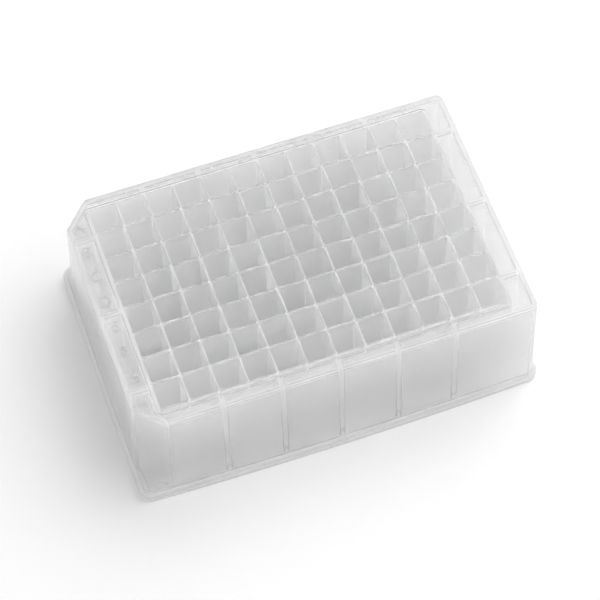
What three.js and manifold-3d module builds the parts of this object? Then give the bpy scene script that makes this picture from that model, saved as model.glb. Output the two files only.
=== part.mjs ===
// A deep-well storage plate: twelve columns and eight rows of square wells in one moulding.
// The wells hang in a block. A shallow deck, a drafted outer shell and a foot flange surround it.
// Millimetres, +Z up. The origin is the middle of the base, on the surface that it stands on.
// Columns run along X, with column 1 at the low end. Rows run along Y, with row A at the high end.

import * as THREE from 'three';
import { mergeGeometries, mergeVertices } from 'three/addons/utils/BufferGeometryUtils.js';
import Module from 'manifold-3d';

const wasm = await Module();
wasm.setup();

// ---------------------------------------------------------------- driving dimensions

// wells
const COLUMNS = 12;
const ROWS = 8;
const WELL_PITCH = 9;
const WELL_WALL = 0.8; // wall between two wells, at their mouths
const WELL_LEAN = 0.35; // how far each well wall leans in by the start of the pointed bottom
const POINT_HEIGHT = 3.4; // height of the pointed bottom
const POINT_FLAT = 2.4; // side of the small flat that the point ends in
const WELL_FLOOR = 1.2; // material under a well
const FOOT_GAP = 0.2; // between the outsides of two pointed bottoms, where they start
const TIP_CLEARANCE = 3.2; // from the standing surface up to the well tips
const BLOCK_WALL = 1.2; // wall round the outside of the outermost wells, at their mouths

// base and overall height
const HEIGHT = 43; // standing surface to the well mouths
const END_MARGIN = 9.88; // from the outermost well cells to the ends of the base
const SIDE_MARGIN = 6.74; // from the outermost well cells to the long sides of the base
const BASE_RADIUS = 3.2; // upright corners of the foot flange
const FLANGE_HEIGHT = 3.6;
const FLANGE_LEDGE = 1.15; // how far the flange stands out from the foot of the shell

// outer shell, which leans in from its foot to its rim
const SHELL_LEAN = 0.95;
const SHELL_WALL = 1.6;
const SHELL_RADIUS = 2.2; // upright corners that are not bevelled, outside
const HOLLOW_RADIUS = 0.7; // and inside
const RIM_DROP = 1.1; // from the well mouths down to the outer rim
const BEVEL_END = 8.2; // the two bevelled corners beside column 1, measured along X
const BEVEL_SIDE = 8.6; // and along Y
const CORNER_LEDGE = 5.2; // height of the square corners that are left below the bevels
const LEDGE_RECESS = 0.6; // the middle of each of those corners is sunk this far

// deck between the shell and the well block, and the ribs below it
const DECK_DROP = 0.8; // from the rim down to the deck
const DECK_THICKNESS = 1.5;
const RIB_TOP = 1.9; // rib thickness at the deck
const RIB_FOOT = 1.1; // and at its lower end
const RIB_CLEARANCE = 4.2; // from the standing surface up to the ribs
const COLUMNS_PER_RIB = 2; // along the long sides
const END_RIB_ROWS = [1, 4, 7]; // the ribs on the short sides come after these rows

// how finely a round corner is divided, and how far a cutting solid runs past what it cuts
const CORNER_STEPS = 5;
const OVERRUN = 1;

// ---------------------------------------------------------------- sizes that follow

const gridLength = COLUMNS * WELL_PITCH;
const gridWidth = ROWS * WELL_PITCH;
const baseLength = gridLength + 2 * END_MARGIN;
const baseWidth = gridWidth + 2 * SIDE_MARGIN;
const footLength = baseLength - 2 * FLANGE_LEDGE;
const footWidth = baseWidth - 2 * FLANGE_LEDGE;
const blockLength = gridLength - WELL_WALL + 2 * BLOCK_WALL;
const blockWidth = gridWidth - WELL_WALL + 2 * BLOCK_WALL;

const wellMouth = WELL_PITCH - WELL_WALL;
const pointMouth = wellMouth - 2 * WELL_LEAN;
const wellBottomZ = TIP_CLEARANCE + WELL_FLOOR;
const pointTopZ = wellBottomZ + POINT_HEIGHT;
const rimZ = HEIGHT - RIM_DROP;
const deckZ = rimZ - DECK_DROP;
const recessZ = CORNER_LEDGE - LEDGE_RECESS;

// ---------------------------------------------------------------- helpers

// A closed geometry becomes a solid once the points that its faces share are merged. A face that
// this leaves with two corners in one place, as at the pole of a lathed shape, is dropped.
function solid(geometry) {
  const bare = geometry.clone();
  bare.deleteAttribute('normal');
  bare.deleteAttribute('uv');
  const merged = mergeVertices(bare, 1e-4);
  const corners = merged.index.array;
  const kept = [];
  for (let i = 0; i < corners.length; i += 3) {
    const [a, b, c] = corners.slice(i, i + 3);
    if (a !== b && b !== c && c !== a) kept.push(a, b, c);
  }
  return new wasm.Manifold(new wasm.Mesh({
    numProp: 3,
    vertProperties: Float32Array.from(merged.attributes.position.array),
    triVerts: Uint32Array.from(kept),
  }));
}

// A box given by its size, standing centred on the Z axis between two heights.
function slab(length, width, fromZ, toZ) {
  return new THREE.BoxGeometry(length, width, toZ - fromZ).translate(0, 0, (fromZ + toZ) / 2);
}

// A rectangle centred on the origin. Its corners are round, apart from bevelled ones at low X.
function outline(length, width, radius, bevel) {
  const x = length / 2;
  const y = width / 2;
  const shape = new THREE.Shape();
  shape.moveTo(x, -y + radius);
  shape.lineTo(x, y - radius);
  shape.absarc(x - radius, y - radius, radius, 0, Math.PI / 2);
  if (bevel) {
    shape.lineTo(-x + bevel.end, y);
    shape.lineTo(-x, y - bevel.side);
    shape.lineTo(-x, -y + bevel.side);
    shape.lineTo(-x + bevel.end, -y);
  } else {
    shape.absarc(-x + radius, y - radius, radius, Math.PI / 2, Math.PI);
    shape.absarc(-x + radius, -y + radius, radius, Math.PI, 1.5 * Math.PI);
  }
  shape.absarc(x - radius, -y + radius, radius, 1.5 * Math.PI, 2 * Math.PI);
  return shape;
}

// An outline drawn upwards from one height to another.
function raised(shape, fromZ, toZ) {
  const settings = { depth: toZ - fromZ, bevelEnabled: false, curveSegments: CORNER_STEPS };
  return new THREE.ExtrudeGeometry(shape, settings).translate(0, 0, fromZ);
}

// The shell's draft: every point moves towards the middle in proportion to its height.
function leaned(geometry) {
  const at = geometry.attributes.position;
  for (let i = 0; i < at.count; i += 1) {
    const inward = SHELL_LEAN * at.getZ(i) / rimZ;
    at.setX(i, at.getX(i) - Math.sign(at.getX(i)) * inward);
    at.setY(i, at.getY(i) - Math.sign(at.getY(i)) * inward);
  }
  return geometry;
}

// A body with a square section whose side changes with height: [side, z] pairs from the bottom up.
function squareBody(sections) {
  const profile = sections.map(([side, z]) => new THREE.Vector2(side * Math.SQRT1_2, z));
  profile.unshift(new THREE.Vector2(0, sections[0][1]));
  profile.push(new THREE.Vector2(0, sections.at(-1)[1]));
  return new THREE.LatheGeometry(profile, 4).rotateY(Math.PI / 4).rotateX(Math.PI / 2);
}

// One geometry that holds a copy of another at each well.
function atEachWell(geometry) {
  const copies = [];
  for (let column = 0; column < COLUMNS; column += 1) {
    for (let row = 0; row < ROWS; row += 1) {
      const x = (column + 0.5) * WELL_PITCH - gridLength / 2;
      const y = (row + 0.5) * WELL_PITCH - gridWidth / 2;
      copies.push(geometry.clone().translate(x, y, 0));
    }
  }
  return mergeGeometries(copies);
}

// ---------------------------------------------------------------- outer shell

// Moving a bevel in by the shell's wall shortens its two legs by these shares of the wall.
const bevelSlant = Math.hypot(BEVEL_END, BEVEL_SIDE);
const innerBevel = {
  end: BEVEL_END - SHELL_WALL * (1 + (BEVEL_END - bevelSlant) / BEVEL_SIDE),
  side: BEVEL_SIDE - SHELL_WALL * (1 + (BEVEL_SIDE - bevelSlant) / BEVEL_END),
};
const innerLength = footLength - 2 * SHELL_WALL;
const innerWidth = footWidth - 2 * SHELL_WALL;

// What a bevel takes off a corner of the shell, from a height up. side is 1 by row A, -1 by row H.
function bevelCut(side) {
  const x = -footLength / 2;
  const y = side * footWidth / 2;
  const slope = side * BEVEL_SIDE / BEVEL_END;
  const beyond = side * (SHELL_LEAN + OVERRUN);
  const shape = new THREE.Shape();
  shape.moveTo(x + BEVEL_END + beyond / slope, y + beyond);
  shape.lineTo(x - OVERRUN, y - (BEVEL_END + OVERRUN) * slope);
  shape.lineTo(x - OVERRUN, y + beyond);
  return leaned(raised(shape, recessZ, HEIGHT));
}

// Below the bevels the corners stay square. Their middles are sunk inside the shell's wall.
function outerForm() {
  const flange = solid(raised(outline(baseLength, baseWidth, BASE_RADIUS), 0, FLANGE_HEIGHT));
  const shell = solid(leaned(raised(outline(footLength, footWidth, SHELL_RADIUS), 0, rimZ)));
  const inside = solid(raised(outline(innerLength, innerWidth, HOLLOW_RADIUS), 0, HEIGHT));
  const keptEdge = solid(slab(baseLength, baseWidth, recessZ - OVERRUN, CORNER_LEDGE))
    .subtract(inside);
  const cuts = solid(bevelCut(1)).add(solid(bevelCut(-1))).subtract(keptEdge);
  return shell.add(flange).subtract(cuts);
}

// ---------------------------------------------------------------- well block

// The block, with a pointed foot below each well.
function blockForm() {
  const foot = squareBody([
    [POINT_FLAT + 2 * WELL_WALL, TIP_CLEARANCE],
    [WELL_PITCH - FOOT_GAP, pointTopZ],
    [WELL_PITCH - WELL_WALL, pointTopZ + OVERRUN],
  ]);
  return solid(slab(blockLength, blockWidth, pointTopZ, HEIGHT)).add(solid(atEachWell(foot)));
}

// The room in every well. It runs on past the mouth at the same lean.
function wellRooms() {
  const leanPerHeight = WELL_LEAN / (HEIGHT - pointTopZ);
  return solid(atEachWell(squareBody([
    [POINT_FLAT, wellBottomZ],
    [pointMouth, pointTopZ],
    [wellMouth + 2 * leanPerHeight * OVERRUN, HEIGHT + OVERRUN],
  ])));
}

// ---------------------------------------------------------------- ribs

// A bar along Y across the whole plate, with a rib's section: thicker at the deck than at its foot.
function ribBar(length) {
  const shape = new THREE.Shape();
  shape.moveTo(-RIB_FOOT / 2, RIB_CLEARANCE);
  shape.lineTo(RIB_FOOT / 2, RIB_CLEARANCE);
  shape.lineTo(RIB_TOP / 2, deckZ);
  shape.lineTo(RIB_TOP / 2, HEIGHT + OVERRUN);
  shape.lineTo(-RIB_TOP / 2, HEIGHT + OVERRUN);
  shape.lineTo(-RIB_TOP / 2, deckZ);
  return new THREE.ExtrudeGeometry(shape, { depth: length, bevelEnabled: false })
    .translate(0, 0, -length / 2)
    .rotateX(Math.PI / 2);
}

// The ribs start half-way through the block's wall and run out past the shell.
function ribForm() {
  const bars = [];
  for (let column = COLUMNS_PER_RIB; column < COLUMNS; column += COLUMNS_PER_RIB) {
    const x = column * WELL_PITCH - gridLength / 2;
    bars.push(solid(ribBar(baseWidth).translate(x, 0, 0)));
  }
  for (const row of END_RIB_ROWS) {
    const y = gridWidth / 2 - row * WELL_PITCH;
    bars.push(solid(ribBar(baseLength).rotateZ(Math.PI / 2).translate(0, y, 0)));
  }
  const coreLength = blockLength - BLOCK_WALL;
  const coreWidth = blockWidth - BLOCK_WALL;
  const core = solid(slab(coreLength, coreWidth, 0, HEIGHT + 2 * OVERRUN));
  return bars.reduce((all, bar) => all.add(bar)).subtract(core);
}

// ---------------------------------------------------------------- the plate

function plate() {
  const block = blockForm();
  const ribs = ribForm();
  const inside = outline(innerLength, innerWidth, HOLLOW_RADIUS, innerBevel);
  const squareInside = outline(innerLength, innerWidth, HOLLOW_RADIUS);

  // open from below: all that lies inside the shell's wall and is neither block nor rib
  const upperHollow = solid(leaned(raised(inside, -OVERRUN, deckZ - DECK_THICKNESS)));
  const cornerHollow = solid(leaned(raised(squareInside, -OVERRUN, recessZ - DECK_THICKNESS)));
  const hollow = upperHollow.add(cornerHollow).subtract(block).subtract(ribs);

  // the bays of the deck lie lower than the rim and the ribs
  const bays = solid(leaned(raised(inside, deckZ, HEIGHT))).subtract(ribs);

  return outerForm().subtract(hollow).subtract(bays).add(block).subtract(wellRooms());
}

function meshOf(manifold, name, material) {
  const made = manifold.getMesh();
  const geometry = new THREE.BufferGeometry();
  geometry.setAttribute('position', new THREE.BufferAttribute(made.vertProperties, 3));
  geometry.setIndex(new THREE.BufferAttribute(made.triVerts, 1));
  geometry.computeVertexNormals();
  const mesh = new THREE.Mesh(geometry, material);
  mesh.name = name;
  return mesh;
}

const naturalPolypropylene = new THREE.MeshStandardMaterial({
  color: 0xdcdedf,
  roughness: 0.35,
  metalness: 0,
  flatShading: true,
});

const group = new THREE.Group();
group.add(meshOf(plate(), 'well_plate', naturalPolypropylene));

export default group;
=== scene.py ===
import math

import bpy
import bmesh
import numpy as np
from bpy.props import FloatProperty, PointerProperty, StringProperty
from mathutils import Euler, Matrix, Vector


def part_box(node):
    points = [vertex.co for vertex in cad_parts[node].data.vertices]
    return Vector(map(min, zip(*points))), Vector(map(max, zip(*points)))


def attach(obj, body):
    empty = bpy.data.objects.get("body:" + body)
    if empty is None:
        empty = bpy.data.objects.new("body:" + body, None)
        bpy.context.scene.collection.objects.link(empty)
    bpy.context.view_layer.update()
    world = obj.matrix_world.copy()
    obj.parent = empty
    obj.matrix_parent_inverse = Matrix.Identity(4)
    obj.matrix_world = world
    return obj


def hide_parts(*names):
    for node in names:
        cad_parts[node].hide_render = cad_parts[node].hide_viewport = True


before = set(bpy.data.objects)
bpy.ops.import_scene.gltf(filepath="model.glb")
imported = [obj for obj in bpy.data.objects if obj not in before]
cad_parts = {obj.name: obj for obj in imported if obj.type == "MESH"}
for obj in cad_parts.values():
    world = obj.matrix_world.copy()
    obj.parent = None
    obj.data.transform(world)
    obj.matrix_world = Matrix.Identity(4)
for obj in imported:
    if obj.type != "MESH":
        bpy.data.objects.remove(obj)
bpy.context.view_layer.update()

PLATE_LOW, PLATE_HIGH = (Vector(corner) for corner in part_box("well_plate"))

bl_info = {
    "name": "Deep-Well Plate",
    "version": (1, 0, 0),
    "blender": (4, 5, 0),
    "location": "3D Viewport > Sidebar > Well Plate",
    "description": "Makes a square deep-well storage plate, its lettering and its studio",
    "category": "Add Mesh",
}

COLUMNS = 12
ROWS = 8
MM = 0.001


# ---------------------------------------------------------------- settings

def length(name, description, default):
    """A size in metres, shown with its unit."""
    return FloatProperty(
        name=name, description=description, default=default, unit="LENGTH", precision=5)


class WellSizes(bpy.types.PropertyGroup):
    """The wells and the block that they hang in."""
    pitch: length("Pitch", "From one well to the next, along rows and columns", 0.009)
    wall: length("Wall", "Thickness of the wall between two wells, at their mouths", 0.0007)
    lean: length("Lean", "How far each well wall leans in by the start of the point", 0.00035)
    corner: length("Corner", "Radius of the upright corners inside a well, at its mouth", 0.0003)
    edge: length("Edge", "Rounding of the edges round a mouth", 0.0002)
    point_top: length("Point top", "Height at which the pointed bottom starts", 0.0078)
    floor: length("Floor", "Height of the small flat inside a well", 0.0044)
    tip: length("Tip", "Height of the underside of a well", 0.0032)
    rim: length("Rim", "Wall round the outermost wells, at their mouths", 0.00115)
    rim_corner: length("Rim corner", "Radius of the block's upright corners", 0.0015)


class ShellSizes(bpy.types.PropertyGroup):
    """The outer shell, its deck and its foot."""
    rim_drop: length("Rim drop", "From the well mouths down to the outer rim", 0.0011)
    lean: length("Lean", "How far the shell leans in from its foot to its rim", 0.00095)
    wall: length("Wall", "Thickness of the shell's wall", 0.0016)
    corner: length("Corner", "Radius of the shell's upright corners", 0.0022)
    bevel_end: length("Bevel along X", "Leg of the two bevelled corners along X", 0.0082)
    bevel_side: length("Bevel along Y", "Leg of the two bevelled corners along Y", 0.0086)
    ledge: length("Corner ledge", "Height of the square corners below the bevels", 0.0052)
    recess: length("Recess", "How far the middle of such a corner is sunk", 0.0006)
    deck_drop: length("Deck drop", "From the rim down to the deck", 0.0008)
    deck: length("Deck", "Thickness of the deck", 0.0015)
    rib_top: length("Rib top", "Thickness of a rib at the deck", 0.0019)
    rib_foot: length("Rib foot", "Thickness of a rib at its lower end", 0.0011)
    rib_clear: length("Rib clearance", "Height of the ribs' lower ends", 0.0042)
    flange: length("Flange", "Height of the foot flange", 0.0036)
    flange_out: length("Flange ledge", "How far the flange stands out from the shell", 0.00115)
    flange_corner: length("Flange corner", "Radius of the flange's corners", 0.0032)
    bow_long: length("Bow, long sides", "How far a long side's foot bows out in its middle", 0.00105)
    bow_short: length("Bow, short sides", "How far a short side's foot bows out in the middle", 0.0005)


class LetterSizes(bpy.types.PropertyGroup):
    """The raised row letters and column numbers."""
    letter: length("Letter height", "Height of the row letters", 0.0036)
    number: length("Number height", "Height of the column numbers", 0.0023)
    raised: length("Raised", "How far the strokes stand up from the deck", 0.0004)


class PlateColours(bpy.types.PropertyGroup):
    """Colours as sRGB hex values."""
    clear: StringProperty(
        name="Clear", description="Colour of the plastic where it is clearest", default="#fefefe")
    cloudy: StringProperty(
        name="Cloudy", description="Colour of the plastic where it is milkiest", default="#f9f9f9")
    floor: StringProperty(
        name="Floor", description="Colour of the studio's floor", default="#f2f2f2")


# ---------------------------------------------------------------- mesh helpers

# points closer than this are one point
SAME_PLACE = 1e-8


def linked(name, data):
    """A new object, in the scene."""
    thing = bpy.data.objects.new(name, data)
    bpy.context.scene.collection.objects.link(thing)
    return thing


def mark_points(mesh, name, values):
    """Stores a value for each point, for the material to read."""
    layer = mesh.attributes.new(name, "FLOAT", "POINT")
    layer.data.foreach_set("value", np.asarray(values, np.float32))


def mesh_object(name, points, triangles, polygons, marks):
    """An object of one closed surface. Points that the parts of the surface share are merged, and
    a triangle that this leaves with two corners in one place is dropped. The normal at a point is
    the mean of its faces' normals by area, so that flat faces stay flat up to their small round
    edges. marks holds a value for each point under each name."""
    places = np.round(points / SAME_PLACE).astype(np.int64)
    _, first, same = np.unique(places, axis=0, return_index=True, return_inverse=True)
    same = same.reshape(-1)
    points = points[first]
    triangles = same[triangles]
    a, b, c = triangles.T
    triangles = triangles[(a != b) & (b != c) & (c != a)]
    faces = triangles.tolist() + [same[np.array(polygon)].tolist() for polygon in polygons]
    mesh = bpy.data.meshes.new(name)
    mesh.from_pydata(points.tolist(), [], faces)
    mesh.validate()
    mesh.polygons.foreach_set("use_smooth", np.ones(len(mesh.polygons), bool))
    mesh.update()
    mesh.calc_loop_triangles()
    corners = np.empty(len(mesh.loop_triangles) * 3, np.int32)
    mesh.loop_triangles.foreach_get("vertices", corners)
    corners = corners.reshape(-1, 3)
    p, q, r = (points[corners[:, i]] for i in range(3))
    weighted = np.cross(q - p, r - p)
    normals = np.zeros_like(points)
    for i in range(3):
        np.add.at(normals, corners[:, i], weighted)
    normals /= np.maximum(np.linalg.norm(normals, axis=1, keepdims=True), 1e-30)
    mesh.normals_split_custom_set_from_vertices(normals.tolist())
    for mark, values in marks.items():
        mark_points(mesh, mark, values[first])
    return linked(name, mesh)


def grid_triangles(index):
    """Two triangles for each cell of a grid of point numbers. The first axis runs anticlockwise
    seen from outside and wraps round; the second runs outwards."""
    along = np.roll(index, -1, axis=0)
    a, b, c, d = index[:, :-1], index[:, 1:], along[:, 1:], along[:, :-1]
    return np.concatenate([np.stack([a, b, c], -1).reshape(-1, 3),
                           np.stack([a, c, d], -1).reshape(-1, 3)])


# ---------------------------------------------------------------- the wells

RING_POINTS = 20
# the ring's points on the right, back, left and front edge of a cell, anticlockwise
EDGE_POINTS = [
    [17, 18, 19, 0, 1, 2], [2, 3, 4, 5, 6, 7], [7, 8, 9, 10, 11, 12], [12, 13, 14, 15, 16, 17]]
# half the width at the foot of the pointed bottom's slopes, inside and underneath
FLOOR_HALF = 1.2 * MM
TIP_HALF = 2.0 * MM
# how far a foot stands in from the middle of the gap between two feet
FOOT_GAP = 0.1 * MM


def well_ring(half, radius):
    """A square with round corners, as twenty points: in each corner five points a sixteenth of a
    turn apart on a circle of the given radius about a centre that lies one radius in from both
    sides."""
    angles = np.radians(np.arange(4)[:, None] * 90 + np.arange(5) * 22.5)
    signs = np.array([[1, 1], [-1, 1], [-1, -1], [1, -1]])
    centres = signs[:, None, :] * (half - radius)
    return (centres + radius * np.stack([np.cos(angles), np.sin(angles)], -1)).reshape(-1, 2)


def cell_ring(half, step):
    """A plain square as twenty points: each corner, and two points on either side of it, one and
    two steps away along the sides."""
    back = np.array([[0, -2], [0, -1], [0, 0], [-1, 0], [-2, 0]]) * step
    quarter = half + back
    turn = np.array([[0, -1], [1, 0]])
    rings = [quarter]
    for _ in range(3):
        rings.append(rings[-1] @ turn.T)
    return np.concatenate(rings)


def cell_surface(rings, centres):
    """Rings stacked into one surface, and copied to every centre. rings holds (plan points, z)."""
    column = np.stack([np.column_stack([ring, np.full(RING_POINTS, z)]) for ring, z in rings], 1)
    shift = np.column_stack([centres, np.zeros(len(centres))])
    return column[None] + shift[:, None, None, :]


def well_centres(pitch):
    """The middle of every well: columns along X, rows along Y, the grid centred on the origin."""
    x = (np.arange(COLUMNS) + 0.5 - COLUMNS / 2) * pitch
    y = (np.arange(ROWS) + 0.5 - ROWS / 2) * pitch
    return np.stack(np.meshgrid(x, y, indexing="ij"), -1).reshape(-1, 2)


def well_rings(w, top):
    """The inside of a well from the middle of its walls' tops: the flat top, a quarter round into
    the mouth, the leaning wall, and the pointed bottom with its small flat. The corner radius
    shrinks with depth."""
    mouth = (w.pitch - w.wall) / 2
    deep = mouth - w.lean
    ring = lambda half, z, radius: (well_ring(half, radius), z)
    edge, r = w.edge, w.corner
    slope = (deep - FLOOR_HALF) / (w.point_top - w.floor)
    return [
        (cell_ring(w.pitch / 2, r / 2), top),
        ring(mouth + edge, top, r + edge),
        ring(mouth + 0.38 * edge, top - 0.22 * edge, r + 0.3 * edge),
        ring(mouth + 0.08 * edge, top - 0.62 * edge, r + 0.05 * edge),
        ring(mouth, top - 1.6 * edge, r),
        ring(mouth - 0.5 * w.lean, (top + w.point_top) / 2, 0.95 * r),
        ring(deep, w.point_top + 0.5 * MM, 0.9 * r),
        ring(deep - 0.06 * MM, w.point_top + 0.05 * MM, 0.88 * r),
        ring(deep - 0.4 * MM * slope, w.point_top - 0.4 * MM, 0.8 * r),
        ring(FLOOR_HALF + 0.35 * MM * slope, w.floor + 0.35 * MM, 0.5 * r),
        ring(FLOOR_HALF + 0.02 * MM, w.floor + 0.08 * MM, 0.45 * r),
        ring(0.9 * MM, w.floor, 0.4 * r),
    ]


def foot_rings(w):
    """The outside of a well's pointed foot, from the middle of the gap between two feet down to
    its flat tip, both with small round edges."""
    half = w.pitch / 2
    slope = (half - FOOT_GAP - TIP_HALF) / (w.point_top - w.tip)
    ring = lambda size, z, radius: (well_ring(size, radius), z)
    return [
        (cell_ring(half, w.corner / 2), w.point_top),
        ring(half - FOOT_GAP, w.point_top - 0.06 * MM, 0.6 * MM),
        ring(half - FOOT_GAP - 0.35 * MM * slope, w.point_top - 0.4 * MM, 0.7 * MM),
        ring(TIP_HALF + 0.35 * MM * slope, w.tip + 0.35 * MM, 0.8 * MM),
        ring(TIP_HALF + 0.04 * MM, w.tip + 0.07 * MM, 0.75 * MM),
        ring(TIP_HALF - 0.25 * MM, w.tip, 0.65 * MM),
    ]


# ---------------------------------------------------------------- the walk round the plate

CORNER_POINTS = 21
# the walk's places are in millimetres from the middle of a side: where the ribs stand, where it
# stops across a rib, counted from the rib's middle, and its step away from the ribs, half a pitch
LONG_RIBS = np.array([-36.0, -18.0, 0.0, 18.0, 36.0])
SHORT_RIBS = np.array([-27.0, 0.0, 27.0])
RIB_STOPS = np.array([0, 0.40, 0.50, 0.55, 0.59, 0.80, 0.90, 0.95, 0.97, 1.05, 1.25])
STEP = 4.5
# stands for a place at a corner, away from every rib
AWAY = 9.0


def side_stops(ribs, last):
    """Where the walk stops along one side: at each cell's edge and middle up to the last stop, and
    several times across each rib."""
    plain = np.arange(-last, last + 1, STEP)
    across = np.concatenate([RIB_STOPS, -RIB_STOPS])
    near = (ribs[:, None] + across).reshape(-1)
    clear = plain[np.abs(plain[:, None] - ribs).min(1) > RIB_STOPS[-1]]
    return np.unique(np.round(np.concatenate([clear, near]), 3))


LONG = side_stops(LONG_RIBS, 11 * STEP)
SHORT = side_stops(SHORT_RIBS, 5 * STEP)


def around(half_x, half_y, right, left):
    """A closed loop of plan points, anticlockwise from the front end of the right side. It keeps to
    the half sizes along the four sides. The two corners at high X follow the path right, and the
    two at low X the path left. A path runs from the short side to the long side, and is written
    for the quarter at high X and Y."""
    long, short = LONG * MM, SHORT * MM
    column = lambda x, y: np.column_stack(np.broadcast_arrays(x, y))
    return np.concatenate([
        column(half_x, short), right,
        column(long[::-1], half_y), left[::-1] * (-1, 1),
        column(-half_x, short[::-1]), left * (-1, -1),
        column(long, -half_y), right[::-1] * (1, -1),
    ])


def around_values(sides_long, sides_short, right, left):
    """Values that go with the points of the loop."""
    return np.concatenate([sides_short, right, sides_long[::-1], left[::-1],
                           sides_short[::-1], left, sides_long, right[::-1]])


def round_corner(half_x, half_y, radius, count=CORNER_POINTS):
    """A quarter circle that touches both sides."""
    angles = np.linspace(0, math.pi / 2, count)
    return np.column_stack([half_x - radius + radius * np.cos(angles),
                            half_y - radius + radius * np.sin(angles)])


def bevel_shares(s):
    """How far along the bevel its middle points lie: the first and last where the wall of the
    square corner below meets it, one close to each of them, and the others evenly between."""
    low = s.wall / s.bevel_end
    high = 1 - s.wall / s.bevel_side
    near = 0.5 * MM / math.hypot(s.bevel_end, s.bevel_side)
    return np.concatenate([[low], np.linspace(low + near, high - near, 9), [high]])


def bevel_corner(half_x, half_y, end, side, radius, s):
    """A straight bevel with its two ends rounded. A circle that touches both lines of a bend of
    angle t starts radius * tan(t / 2) before the bend."""
    first = math.atan2(end, side)
    second = math.pi / 2 - first
    start = np.array([half_x, half_y - side])
    stop = np.array([half_x - end, half_y])
    one = np.linspace(0, first, 5)
    two = np.linspace(first, math.pi / 2, 5)
    centre_one = start - (radius, radius * math.tan(first / 2))
    centre_two = stop - (radius * math.tan(second / 2), radius)
    turn = lambda angles: radius * np.column_stack([np.cos(angles), np.sin(angles)])
    middle = start + bevel_shares(s)[:, None] * (stop - start)
    return np.concatenate([centre_one + turn(one), middle, centre_two + turn(two)])


def kept_corner(half_x, half_y, radius, beside):
    """The square corner below a bevel: a quarter circle of seven points, and along each side seven
    points level with the bevel's own. beside is the bevel's path at the same height."""
    up = np.column_stack([np.full(7, half_x), beside[:7, 1]])
    along = np.column_stack([beside[14:, 0], np.full(7, half_y)])
    return np.concatenate([up, round_corner(half_x, half_y, radius, 7), along])


def toward(start, stop, distance):
    """Points moved from start towards stop by a distance, but by no more than 0.4 of the way."""
    gap = stop - start
    size = np.linalg.norm(gap, axis=1, keepdims=True)
    return start + gap * np.minimum(distance / np.maximum(size, 1e-12), 0.4)


# where the middle of a small quarter round lies, in from both of its faces, as a share of its size
ARC = 0.28
# radii of upright corners inside the shell, and of the bends where a bevel meets a side, outside
# and inside
CORNER_IN = 0.7 * MM
BEND = 1.0 * MM
BEND_IN = 0.4 * MM
# rounds between the deck and the walls beside it, above and below the deck
FILLET = 0.28 * MM
FILLET_UNDER = 0.35 * MM
# heights of the lines down the outside of the shell
SHELL_HEIGHTS = (36 * MM, 28 * MM, 20 * MM, 12 * MM, 7 * MM)


def block_half(w):
    """Half the block's size along X and along Y."""
    return [cells * w.pitch / 2 - w.wall / 2 + w.rim for cells in (COLUMNS, ROWS)]


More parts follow.
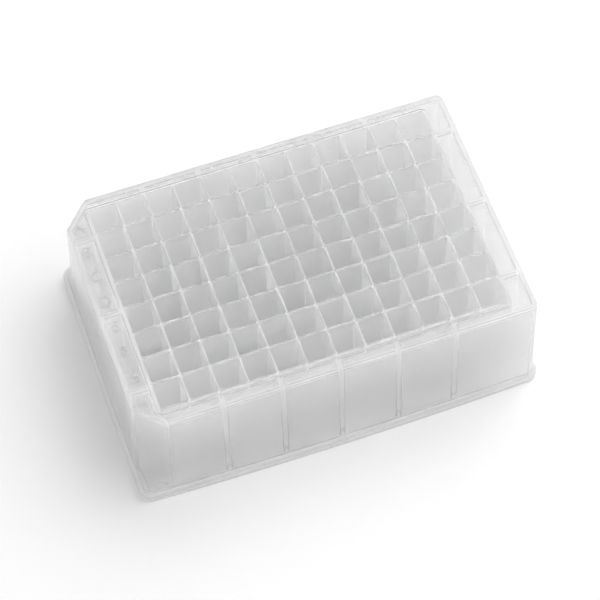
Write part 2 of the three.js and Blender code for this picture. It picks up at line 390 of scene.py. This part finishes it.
def band_surface(w, s, base, top):
    """Everything round the wells, as one surface: a profile carried round the plate. The profile
    starts on the block's top edge, runs over the deck and the rim, down the shell, over the flange,
    under it, up inside the shell, along the underside of the deck and down the block to its lower
    edge. Across a rib the deck rises to the rim and the underside sinks to the rib's lower end.
    Each line of the profile is a loop of plan points with a height for each point."""
    block_x, block_y = block_half(w)
    foot_x, foot_y = base[0] - s.flange_out, base[1] - s.flange_out
    rim = top - s.rim_drop
    deck = rim - s.deck_drop
    ceiling = deck - s.deck
    low_ledge = s.ledge - s.recess
    slant = math.hypot(s.bevel_end, s.bevel_side)
    inner_end = s.bevel_end - s.wall * (1 + (s.bevel_end - slant) / s.bevel_side)
    inner_side = s.bevel_side - s.wall * (1 + (s.bevel_side - slant) / s.bevel_end)

    rib_long = np.abs(LONG[:, None] - LONG_RIBS).min(1)
    rib_short = np.abs(SHORT[:, None] - SHORT_RIBS).min(1)
    corner = np.full(CORNER_POINTS, AWAY)
    from_rib = around_values(rib_long, rib_short, corner, corner)
    low_x = around_values(0 * rib_long, 0 * rib_short, 0 * corner, 0 * corner + 1).astype(bool)
    at_low_x = low_x[:, None]

    # the deck's height beside and over a rib, and the underside's. high is 1 over a rib and 0
    # beside it, and deep is 1 under it
    half_top, half_foot = s.rib_top / MM / 2, s.rib_foot / MM / 2
    high = np.interp(from_rib, [half_top - 0.15, half_top - 0.05, half_top, half_top + 0.02,
                                half_top + 0.1, half_top + 0.3], [1, 0.96, 0.81, 0.19, 0.04, 0])
    floor_z = deck + (rim - deck) * high
    open_ = 1 - high
    deep = np.interp(from_rib, [half_foot - 0.15, half_foot - 0.05, half_foot, half_top,
                                half_top + 0.1, half_top + 0.3], [1, 0.999, 0.995, 0.012, 0.003, 0])
    under_z = ceiling - (ceiling - s.rib_clear) * deep
    clear = 1 - deep

    inset = lambda z: s.lean * z / rim

    def block(inward, less=0.0):
        """A loop round the block, moved in from its face, with less radius at its corners."""
        x, y, radius = block_x - inward, block_y - inward, w.rim_corner - less
        return around(x, y, round_corner(x, y, radius), round_corner(x, y, radius))

    def shell(z, inward, radius, bevel_radius):
        """A loop round the shell at a height, moved in from its face, with the two bevels."""
        x, y = foot_x - inset(z) - inward, foot_y - inset(z) - inward
        share = inward / s.wall
        end = s.bevel_end + (inner_end - s.bevel_end) * share
        side = s.bevel_side + (inner_side - s.bevel_side) * share
        bevel = bevel_corner(x, y, end, side, bevel_radius, s)
        return around(x, y, round_corner(x, y, radius), bevel)

    def bevel_at(z):
        """The outside path of a bevel at a height."""
        x, y = foot_x - inset(z), foot_y - inset(z)
        return bevel_corner(x, y, s.bevel_end, s.bevel_side, BEND, s)

    def square(x, y, radius, z):
        """A loop with four square corners, its points in step with the bevel's at a height."""
        return around(x, y, round_corner(x, y, radius), kept_corner(x, y, radius, bevel_at(z)))

    lines = []

    def line(plan, z):
        """Adds a line to the profile. A small round edge is three lines: one 0.3 mm before the
        edge, one close to it and one 0.3 mm after."""
        lines.append(np.column_stack([plan, np.broadcast_to(z, len(plan))]))

    # the block's top edge and outer face
    e = w.edge
    line(block(1.25 * e, 1.25 * e), top)
    line(block(0.4 * e, 0.4 * e), top - 0.3 * e)
    line(block(0.0), top - 1.2 * e)
    line(block(0.0), floor_z + FILLET * open_)
    line(block(-ARC * FILLET), floor_z + ARC * FILLET * open_)
    line(block(-FILLET), floor_z)

    # the deck's outer edge and the rim
    line(shell(rim, s.wall + FILLET, 0.5 * MM, 0.3 * MM), floor_z)
    line(shell(rim, s.wall + ARC * FILLET, 0.6 * MM, 0.35 * MM), floor_z + ARC * FILLET * open_)
    line(shell(rim, s.wall, CORNER_IN, BEND_IN), floor_z + FILLET * open_)
    lip = np.minimum(0.25 * MM, 0.45 * (rim - floor_z))
    line(shell(rim, s.wall, CORNER_IN, BEND_IN), rim - lip)
    line(shell(rim, s.wall - 0.07 * MM, 0.75 * MM, 0.45 * MM), rim - ARC * lip)
    line(shell(rim, s.wall - 0.25 * MM, 0.95 * MM, 0.55 * MM), rim)
    line(shell(rim, 0.36 * MM, 1.8 * MM, 0.8 * MM), rim)
    line(shell(rim, 0.1 * MM, 2.1 * MM, 0.95 * MM), rim - 0.1 * MM)
    for z in (rim - 0.38 * MM, *SHELL_HEIGHTS):
        line(shell(z, 0.0, s.corner, BEND), z)

    # the square corners below the bevels; elsewhere these lines follow the shell's wall
    wall = shell(s.ledge, 0.0, s.corner, BEND)
    fx, fy = foot_x - inset(s.ledge), foot_y - inset(s.ledge)
    outer = square(fx, fy, s.corner, s.ledge)
    beside = bevel_at(s.ledge)
    kept = kept_corner(fx - s.wall, fy - s.wall, CORNER_IN, beside)
    kept[:6], kept[15:] = beside[:6], beside[15:]
    kept[6] = beside[5] + (0, 0.5 * MM)
    kept[14] = beside[15] + (0.5 * MM, 0)
    inner = around(fx, fy, beside, kept)
    sunk = around_values(0 * LONG, 0 * SHORT, 0 * corner,
                         np.r_[np.zeros(6), np.ones(9), np.zeros(6)]).astype(bool)
    mix = lambda at_corner, elsewhere: np.where(low_x, at_corner, elsewhere)
    pick = lambda at_sunk, elsewhere: np.where(sunk[:, None], at_sunk, elsewhere)
    cornered = lambda plan: np.where(at_low_x, plan, wall)
    low = np.where(sunk, low_ledge, s.ledge)
    base_one = pick(toward(wall, inner, 0.08 * MM), toward(wall, outer, 0.08 * MM))
    base_two = pick(toward(wall, inner, 0.3 * MM), toward(wall, outer, 0.3 * MM))
    line(wall, mix(low + 0.3 * MM, s.ledge + 0.3 * MM))
    line(cornered(base_one), mix(low + 0.08 * MM, s.ledge + 0.2 * MM))
    line(cornered(base_two), mix(low, s.ledge + 0.15 * MM))
    line(cornered(pick(toward(inner, wall, 0.1 * MM), base_two)), mix(low, s.ledge + 0.1 * MM))
    line(cornered(pick(inner, base_two)),
         mix(np.where(sunk, s.ledge - 0.12 * MM, s.ledge), s.ledge + 0.05 * MM))
    line(cornered(pick(toward(inner, outer, 0.12 * MM), base_two)), s.ledge)
    line(cornered(toward(outer, inner, 0.32 * MM)), s.ledge - mix(0.0, 0.05 * MM))
    line(cornered(toward(outer, inner, 0.09 * MM)), s.ledge - 0.1 * MM)
    line(outer, s.ledge - 0.35 * MM)

    # the foot of the shell and the flange
    fx, fy = foot_x - inset(s.flange), foot_y - inset(s.flange)
    line(square(fx, fy, s.corner, s.flange), s.flange + 0.3 * MM)
    line(square(fx + 0.08 * MM, fy + 0.08 * MM, s.corner, s.flange), s.flange + 0.08 * MM)
    line(square(fx + 0.3 * MM, fy + 0.3 * MM, s.corner, s.flange), s.flange)
    bx, by = base
    line(square(bx - 0.32 * MM, by - 0.32 * MM, s.flange_corner - 0.3 * MM, 0), s.flange)
    line(square(bx - 0.09 * MM, by - 0.09 * MM, s.flange_corner, 0), s.flange - 0.09 * MM)
    line(square(bx, by, s.flange_corner, 0), s.flange - 0.35 * MM)
    line(square(bx, by, s.flange_corner, 0), 0.3 * MM)
    line(square(bx - 0.09 * MM, by - 0.09 * MM, s.flange_corner, 0), 0.08 * MM)
    line(square(bx - 0.3 * MM, by - 0.3 * MM, s.flange_corner, 0), 0.0)

    outside = len(lines)

    # up inside the shell
    ix, iy = foot_x - s.wall, foot_y - s.wall
    line(square(ix + 0.2 * MM, iy + 0.2 * MM, CORNER_IN, 0), 0.0)
    line(square(ix, iy, CORNER_IN, 0), 0.2 * MM)
    under_ledge = low_ledge - s.deck
    ledge_x, ledge_y = ix - inset(under_ledge), iy - inset(under_ledge)
    line(square(ledge_x, ledge_y, CORNER_IN, under_ledge), under_ledge - 0.2 * MM)
    inner_wall = lambda z, extra: shell(z, s.wall + extra, CORNER_IN, BEND_IN)
    corner_in = square(ledge_x - 0.2 * MM, ledge_y - 0.2 * MM, CORNER_IN, under_ledge)
    line(np.where(at_low_x, corner_in, inner_wall(under_ledge, 0)), under_ledge - mix(0.0, 0.05 * MM))
    line(inner_wall(under_ledge, 0), under_ledge + mix(0.0, 0.1 * MM))
    line(inner_wall(under_ledge, 0), under_ledge + 0.25 * MM)
    line(inner_wall(ceiling, 0), under_z - FILLET_UNDER * clear)
    line(inner_wall(ceiling, ARC * FILLET_UNDER), under_z - ARC * FILLET_UNDER * clear)
    line(inner_wall(ceiling, FILLET_UNDER), under_z)

    # the block's outer face below the deck
    line(block(-FILLET_UNDER), under_z)
    line(block(-ARC * FILLET_UNDER), under_z - ARC * FILLET_UNDER * clear)
    line(block(0.0), under_z - FILLET_UNDER * clear)
    end_at = lambda z: np.minimum(under_z - FILLET_UNDER * clear, z)
    line(block(0.0), end_at(w.point_top + 0.3 * MM))
    line(block(0.08 * MM), end_at(w.point_top + 0.08 * MM))
    line(block(0.3 * MM, 0.3 * MM), end_at(w.point_top))
    line(block(0.6 * MM, 0.6 * MM), end_at(w.point_top))
    line(block(0.6 * MM, 0.6 * MM), w.point_top)
    return np.stack(lines, 1), outside


def edge_cells():
    """The outermost cells, anticlockwise from the front end of the right side, each with the side
    that it faces: (cell, side, first place, last place), places in pitches from the middle."""
    cells = []
    for row in range(ROWS):
        cells.append(((COLUMNS - 1) * ROWS + row, 0, row - ROWS / 2, row + 1 - ROWS / 2))
    for column in reversed(range(COLUMNS)):
        cells.append((column * ROWS + ROWS - 1, 1, column + 1 - COLUMNS / 2, column - COLUMNS / 2))
    for row in reversed(range(ROWS)):
        cells.append((row, 2, row + 1 - ROWS / 2, row - ROWS / 2))
    for column in range(COLUMNS):
        cells.append((column * ROWS, 3, column - COLUMNS / 2, column + 1 - COLUMNS / 2))
    return cells


def edge_strips(cell_points, band_loop, pitch):
    """Flat faces between the outermost cells and one line of the band. Each goes from cell corner
    to cell corner, and at the ends of a side up to the middle of the plate's corner.
    cell_points holds the point numbers of each cell's outer ring, band_loop those of the line."""
    stops = [SHORT, LONG[::-1], SHORT[::-1], LONG]
    side_start = np.cumsum([0] + [len(side) + CORNER_POINTS for side in stops])
    faces = []
    for cell, side, first, last in edge_cells():
        here = stops[side]
        place = lambda value: int(np.argmin(np.abs(here - value * pitch / MM)))
        half = (COLUMNS if side % 2 else ROWS) / 2
        begin = place(first) if abs(first) < half else -1 - CORNER_POINTS // 2
        end = place(last) if abs(last) < half else len(here) + CORNER_POINTS // 2
        walk = (side_start[side] + np.arange(begin, end + 1)) % len(band_loop)
        inner = cell_points[cell][EDGE_POINTS[side]]
        faces.append(band_loop[walk].tolist() + inner[::-1].tolist())
    return faces


# how far from a side's middle its bow ends, and how far out from the block it is at its full size
BOW_LONG_END, BOW_LONG_FULL = 61 * MM, 3 * MM
BOW_SHORT_END, BOW_SHORT_FULL = 40 * MM, 5 * MM


def bow_out(points, s, rim, block_x, block_y):
    """The moulding's sides bow out below the rim: by the bow times 1 - (d / end) squared, d being
    the distance along from the side's middle and end where the bow ends, times how far down the
    point is as a share of the height. The bow grows from nothing at the block's face to its full
    size a few millimetres out, and nothing moves inside the block."""
    x, y, z = points.T
    share = lambda values: np.clip(values, 0, 1)
    down = share(1 - z / rim)
    long = s.bow_long * share(1 - (x / BOW_LONG_END) ** 2)
    long *= share((np.abs(y) - block_y) / BOW_LONG_FULL)
    short = s.bow_short * share(1 - (y / BOW_SHORT_END) ** 2)
    short *= share((np.abs(x) - block_x) / BOW_SHORT_FULL)
    return np.column_stack([x + np.sign(x) * short * down, y + np.sign(y) * long * down, z])


# lines of the band's profile that stay dull: the small edges of the block and the rim, counted from
# its start, and those of the flange, counted back from the first line inside the shell
DULL_EDGES = np.array([1, 2, 10, 13])
DULL_FLANGE = np.array([-6, -5, -2, -1])
# lines that shine, on the underside of the deck, counted on from that same line
SHINY_DECK = np.array([8, 9])
# rings of a well that lie on the tops of its walls and their edges
TOP_RINGS = 4


def plate_object(w, s):
    """The whole plate as one closed surface, in metres."""
    top = PLATE_HIGH.z
    base = np.array([PLATE_HIGH.x, PLATE_HIGH.y])
    centres = well_centres(w.pitch)
    wells = cell_surface(well_rings(w, top), centres)
    feet = cell_surface(foot_rings(w), centres)
    band, outside = band_surface(w, s, base, top)
    parts = [wells.reshape(-1, 3), feet.reshape(-1, 3), band.reshape(-1, 3)]
    numbers = np.arange(sum(map(len, parts)))
    well_no = numbers[:len(parts[0])].reshape(wells.shape[:3])
    feet_no = numbers[len(parts[0]):len(parts[0]) + len(parts[1])].reshape(feet.shape[:3])
    band_no = numbers[-len(parts[2]):].reshape(band.shape[:2])
    triangles = [grid_triangles(band_no)]
    for cell in well_no:
        triangles.append(grid_triangles(cell)[:, ::-1])
    for cell in feet_no:
        triangles.append(grid_triangles(cell))
    polygons = [cell[:, -1] for cell in well_no] + [cell[::-1, -1] for cell in feet_no]
    polygons += edge_strips(well_no[:, :, 0], band_no[:, 0], w.pitch)
    polygons += [face[::-1] for face in edge_strips(feet_no[:, :, 0], band_no[:, -1], w.pitch)]
    points = np.concatenate(parts)
    # smooth outside, under the deck and on the tops of the walls; duller inside and on the small
    # edges of the block, the rim and the flange
    polish = np.zeros(len(points))
    polish[band_no[:, :outside]] = 1
    polish[band_no[:, DULL_EDGES]] = 0
    polish[band_no[:, outside + DULL_FLANGE]] = 0
    polish[band_no[:, outside + SHINY_DECK]] = 1
    polish[well_no[:, :, :TOP_RINGS]] = 1
    points = bow_out(points, s, top - s.rim_drop, *block_half(w))
    return mesh_object(
        "plate_moulding", points, np.concatenate(triangles), polygons, {"polish": polish})


# ---------------------------------------------------------------- lettering

# where the middles of the row letters and of the column numbers stand
LETTERS_X = -58.1 * MM
NUMBERS_Y = 38.0 * MM
# the typeface's size for capitals one unit tall, how much thinner its strokes are made, the round
# of their edges, and how far they reach into the deck
TYPE_SIZE = 1.4
THINNER = 0.06 * MM
STROKE_ROUND = 0.05 * MM
SUNK_IN = 0.04 * MM
# the letters' finish, from 0 for dull to 1 for smooth
LETTER_POLISH = 0.3


def text_piece(name, marks, size, raised):
    """Raised characters as one mesh. marks holds each text with the place (x, y, z) of its middle,
    z being the surface that it stands on."""
    made = []
    for text, (x, y, z) in marks:
        curve = bpy.data.curves.new(name, "FONT")
        curve.body = text
        curve.size = size * TYPE_SIZE
        curve.align_x, curve.align_y = "CENTER", "CENTER"
        curve.extrude = raised / 2
        curve.bevel_depth = STROKE_ROUND
        curve.bevel_resolution = 1
        curve.offset = -THINNER
        curve.resolution_u = 6
        thing = linked(name, curve)
        shaped = thing.evaluated_get(bpy.context.evaluated_depsgraph_get())
        mesh = bpy.data.meshes.new_from_object(shaped)
        mesh.transform(Matrix.Translation((x, y, z + raised / 2 - SUNK_IN)))
        bpy.data.objects.remove(thing)
        bpy.data.curves.remove(curve)
        made.append(linked(name, mesh))
    with bpy.context.temp_override(active_object=made[0], selected_editable_objects=made):
        bpy.ops.object.join()
    piece = made[0]
    piece.name = name
    shape = bmesh.new()
    shape.from_mesh(piece.data)
    bmesh.ops.remove_doubles(shape, verts=shape.verts, dist=1e-6)
    bmesh.ops.recalc_face_normals(shape, faces=shape.faces)
    shape.to_mesh(piece.data)
    shape.free()
    mark_points(piece.data, "polish", np.full(len(piece.data.vertices), LETTER_POLISH))
    return piece


# ---------------------------------------------------------------- materials

def linear(hex_colour):
    """An sRGB hex colour as linear red, green, blue and an alpha of one: c / 12.92 for a channel up
    to 0.04045, and ((c + 0.055) / 1.055) ** 2.4 above."""
    value = hex_colour.lstrip("#")
    channels = [int(value[i:i + 2], 16) / 255 for i in (0, 2, 4)]
    curve = lambda c: c / 12.92 if c <= 0.04045 else ((c + 0.055) / 1.055) ** 2.4
    return tuple(curve(c) for c in channels) + (1.0,)


def node(tree, kind, settings=None, inputs=None, links=None):
    """Adds one node. settings are its own properties, inputs the values of its sockets, and links
    the sockets that feed it."""
    made = tree.nodes.new(kind)
    for key, value in (settings or {}).items():
        setattr(made, key, value)
    for key, value in (inputs or {}).items():
        made.inputs[key].default_value = value
    for key, source in (links or {}).items():
        tree.links.new(source, made.inputs[key])
    return made


def natural_polypropylene(cloudy, clear):
    """Injection-moulded natural polypropylene: a milky, see-through plastic. Light goes in, is
    scattered on the way by the fine crystals inside, and comes out again. Its outside took a shine
    from the polished mould, and its inside and the wells a satin face from the plain cores. The
    melt froze in faint clouds, long in the direction that it flowed, which is up."""
    material = bpy.data.materials.new("natural_polypropylene_moulded")
    material.use_nodes = True
    tree = material.node_tree
    tree.nodes.clear()
    place = node(tree, "ShaderNodeTexCoord")

    # clouds 10 mm across and 25 mm tall
    flow = node(tree, "ShaderNodeMapping", None, {
        "Scale": (1.0, 1.0, 0.4)}, {"Vector": place.outputs["Object"]})
    clouds = node(tree, "ShaderNodeTexNoise", None, {
        "Scale": 1 / (10 * MM), "Detail": 3.0, "Roughness": 0.5}, {"Vector": flow.outputs["Vector"]})
    tone = node(tree, "ShaderNodeValToRGB", links={"Fac": clouds.outputs["Fac"]})
    for stop, position, colour in zip(tone.color_ramp.elements, (0.35, 0.65), (cloudy, clear)):
        stop.position, stop.color = position, linear(colour)

    # the mould's finish, a little uneven from place to place
    polish = node(tree, "ShaderNodeAttribute", {"attribute_name": "polish"})
    finish = node(tree, "ShaderNodeMapRange", None, {
        "To Min": 0.6, "To Max": 0.08}, {"Value": polish.outputs["Fac"]})
    wear = node(tree, "ShaderNodeTexNoise", None, {
        "Scale": 1 / (4 * MM), "Detail": 4.0, "Roughness": 0.6}, {"Vector": place.outputs["Object"]})
    uneven = node(tree, "ShaderNodeMapRange", None, {
        "From Min": 0.3, "From Max": 0.7, "To Min": -0.03, "To Max": 0.05}, {
        "Value": wear.outputs["Fac"]})
    roughness = node(tree, "ShaderNodeMath", {"operation": "ADD"}, None, {
        0: finish.outputs["Result"], 1: uneven.outputs["Result"]})

    shader = node(tree, "ShaderNodeBsdfPrincipled", None, {
        "IOR": 1.49,
        "Transmission Weight": 1.0,
    }, {"Base Color": tone.outputs["Color"], "Roughness": roughness.outputs[0]})
    crystals = node(tree, "ShaderNodeVolumeScatter", None, {
        "Color": (1, 1, 1, 1),
        "Density": 300.0,
        "Anisotropy": 0.0,
    })
    node(tree, "ShaderNodeOutputMaterial", links={
        "Surface": shader.outputs["BSDF"], "Volume": crystals.outputs["Volume"]})
    return material


# ---------------------------------------------------------------- studio

# the sky's low level, and its glow: how strong it is, how fast it falls and where its middle is
TENT = 0.12
GLOW = 2.9
GLOW_POWER = 4.0
GLOW_MIDDLE = Vector((0.6, 0.1, 1.0))
# what the floor adds of its own where it is looked at, and half its size in metres
FLOOR_SEEN = 0.12
STUDIO_HALF = 4.0
# a weak square lamp that looks at the plate: metres and watts
SOFTBOX_PLACE = Vector((0.25, 0.55, 0.9))
SOFTBOX_SIZE = 0.9
SOFTBOX_POWER = 1.0
CAMERA_PLACE = Vector((-0.1227, -0.3714, 0.6878))
CAMERA_TURN = Euler([math.radians(angle) for angle in (30.214, 0.578, -19.418)])
# the camera's lens and the width of its sensor, in millimetres
LENS = 152.1
SENSOR = 36.0
# how often light may cross the plate's thin walls before it leaves
WALL_BOUNCES = 96


def studio_floor(colour):
    """A plain matt floor, just under white. Where it is looked at, straight, in a reflection or
    through the plastic, a low level of its own is added, which makes it white in full light and
    keeps the plate's shadow."""
    corners = [(x * STUDIO_HALF, y * STUDIO_HALF, 0) for x, y in ((-1, -1), (1, -1), (1, 1), (-1, 1))]
    mesh = bpy.data.meshes.new("studio_floor")
    mesh.from_pydata(corners, [], [(0, 1, 2, 3)])
    floor = linked("studio_floor", mesh)
    material = bpy.data.materials.new("studio_floor")
    material.use_nodes = True
    tree = material.node_tree
    tree.nodes.clear()
    matt = node(tree, "ShaderNodeBsdfDiffuse", inputs={"Color": linear(colour)})
    rays = node(tree, "ShaderNodeLightPath")
    through = node(tree, "ShaderNodeMath", {"operation": "MAXIMUM"}, None, {
        0: rays.outputs["Is Glossy Ray"], 1: rays.outputs["Is Transmission Ray"]})
    seen = node(tree, "ShaderNodeMath", {"operation": "MAXIMUM"}, None, {
        0: rays.outputs["Is Camera Ray"], 1: through.outputs[0]})
    share = node(tree, "ShaderNodeMath", {"operation": "MULTIPLY"}, {1: FLOOR_SEEN}, {
        0: seen.outputs[0]})
    white = node(tree, "ShaderNodeEmission", None, {"Color": (1, 1, 1, 1)}, {
        "Strength": share.outputs[0]})
    both = node(tree, "ShaderNodeAddShader", None, None, {0: matt.outputs[0], 1: white.outputs[0]})
    node(tree, "ShaderNodeOutputMaterial", links={"Surface": both.outputs[0]})
    mesh.materials.append(material)


def studio_sky(scene):
    """A soft tent of light: a low level all round, plus a wide glow in one direction, which falls
    with a power of the cosine of the angle from its middle and ends a quarter turn from it."""
    world = bpy.data.worlds.new("studio")
    world.use_nodes = True
    tree = world.node_tree
    tree.nodes.clear()
    way = node(tree, "ShaderNodeTexCoord")
    facing = node(tree, "ShaderNodeVectorMath", {"operation": "DOT_PRODUCT"}, {
        1: GLOW_MIDDLE.normalized()}, {0: way.outputs["Generated"]})
    near = node(tree, "ShaderNodeMath", {"operation": "MAXIMUM"}, {1: 0.0}, {
        0: facing.outputs["Value"]})
    glow = node(tree, "ShaderNodeMath", {"operation": "POWER"}, {1: GLOW_POWER}, {
        0: near.outputs[0]})
    level = node(tree, "ShaderNodeMath", {"operation": "MULTIPLY_ADD"}, {1: GLOW, 2: TENT}, {
        0: glow.outputs[0]})
    tent = node(tree, "ShaderNodeBackground", None, {"Color": (1, 1, 1, 1)}, {
        "Strength": level.outputs[0]})
    node(tree, "ShaderNodeOutputWorld", links={"Surface": tent.outputs[0]})
    scene.world = world


# ---------------------------------------------------------------- operators

class WELLPLATE_OT_moulding(bpy.types.Operator):
    """Make the plate's moulding"""
    bl_idname = "well_plate.moulding"
    bl_label = "Moulding"

    def execute(self, context):
        scene = context.scene
        colours = scene.plate_colours
        plate = plate_object(scene.well_sizes, scene.shell_sizes)
        plate.data.materials.append(natural_polypropylene(colours.cloudy, colours.clear))
        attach(plate, "root")
        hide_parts("well_plate")
        return {"FINISHED"}


class WELLPLATE_OT_lettering(bpy.types.Operator):
    """Make the raised row letters and column numbers"""
    bl_idname = "well_plate.lettering"
    bl_label = "Lettering"

    def execute(self, context):
        scene = context.scene
        w, s, t = scene.well_sizes, scene.shell_sizes, scene.letter_sizes
        deck = PLATE_HIGH.z - s.rim_drop - s.deck_drop
        letters = [("ABCDEFGH"[row], (LETTERS_X, (ROWS / 2 - 0.5 - row) * w.pitch, deck))
                   for row in range(ROWS)]
        numbers = [(str(column + 1), ((column + 0.5 - COLUMNS / 2) * w.pitch, NUMBERS_Y, deck))
                   for column in range(COLUMNS)]
        material = bpy.data.materials["natural_polypropylene_moulded"]
        for name, marks, size in (
                ("row_letters", letters, t.letter), ("column_numbers", numbers, t.number)):
            piece = text_piece(name, marks, size, t.raised)
            piece.data.materials.clear()
            piece.data.materials.append(material)
            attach(piece, "root")
        return {"FINISHED"}


class WELLPLATE_OT_studio(bpy.types.Operator):
    """Set up the floor, the light and the camera"""
    bl_idname = "well_plate.studio"
    bl_label = "Studio"

    def execute(self, context):
        scene = context.scene
        studio_floor(scene.plate_colours.floor)
        studio_sky(scene)

        lamp = bpy.data.lights.new("softbox_above", "AREA")
        lamp.shape, lamp.size, lamp.energy = "SQUARE", SOFTBOX_SIZE, SOFTBOX_POWER
        softbox = linked("softbox_above", lamp)
        softbox.location = SOFTBOX_PLACE
        softbox.rotation_euler = (-SOFTBOX_PLACE).to_track_quat("-Z", "Y").to_euler()

        camera = bpy.data.cameras.new("camera")
        camera.sensor_width, camera.lens = SENSOR, LENS
        camera.clip_start, camera.clip_end = 0.05, 20.0
        turn = CAMERA_TURN.to_matrix().to_4x4()
        scene.camera = linked("camera", camera)
        scene.camera.matrix_world = Matrix.Translation(CAMERA_PLACE) @ turn

        scene.view_settings.view_transform = "Standard"
        scene.cycles.blur_glossy = 0.0
        scene.cycles.max_bounces = WALL_BOUNCES
        scene.cycles.transmission_bounces = WALL_BOUNCES
        scene.cycles.glossy_bounces = WALL_BOUNCES
        scene.cycles.volume_bounces = WALL_BOUNCES
        scene.cycles.diffuse_bounces = 8
        return {"FINISHED"}


class WELLPLATE_PT_panel(bpy.types.Panel):
    """Sizes, colours and makers of the plate"""
    bl_label = "Well Plate"
    bl_idname = "WELLPLATE_PT_panel"
    bl_space_type = "VIEW_3D"
    bl_region_type = "UI"
    bl_category = "Well Plate"

    def draw(self, context):
        layout = self.layout
        for name, _ in GROUPS:
            settings = getattr(context.scene, name)
            box = layout.box()
            for key in settings.__annotations__:
                box.prop(settings, key)
        for operator in OPERATORS:
            layout.operator(operator.bl_idname)


GROUPS = (
    ("well_sizes", WellSizes),
    ("shell_sizes", ShellSizes),
    ("letter_sizes", LetterSizes),
    ("plate_colours", PlateColours),
)
OPERATORS = (WELLPLATE_OT_moulding, WELLPLATE_OT_lettering, WELLPLATE_OT_studio)


def register():
    for name, group in GROUPS:
        bpy.utils.register_class(group)
        setattr(bpy.types.Scene, name, PointerProperty(type=group))
    for operator in OPERATORS:
        bpy.utils.register_class(operator)
    bpy.utils.register_class(WELLPLATE_PT_panel)


def unregister():
    bpy.utils.unregister_class(WELLPLATE_PT_panel)
    for operator in reversed(OPERATORS):
        bpy.utils.unregister_class(operator)
    for name, group in reversed(GROUPS):
        delattr(bpy.types.Scene, name)
        bpy.utils.unregister_class(group)


def main():
    """Makes every piece and the studio."""
    register()
    bpy.ops.well_plate.moulding()
    bpy.ops.well_plate.lettering()
    bpy.ops.well_plate.studio()


if __name__ == "__main__":
    main()
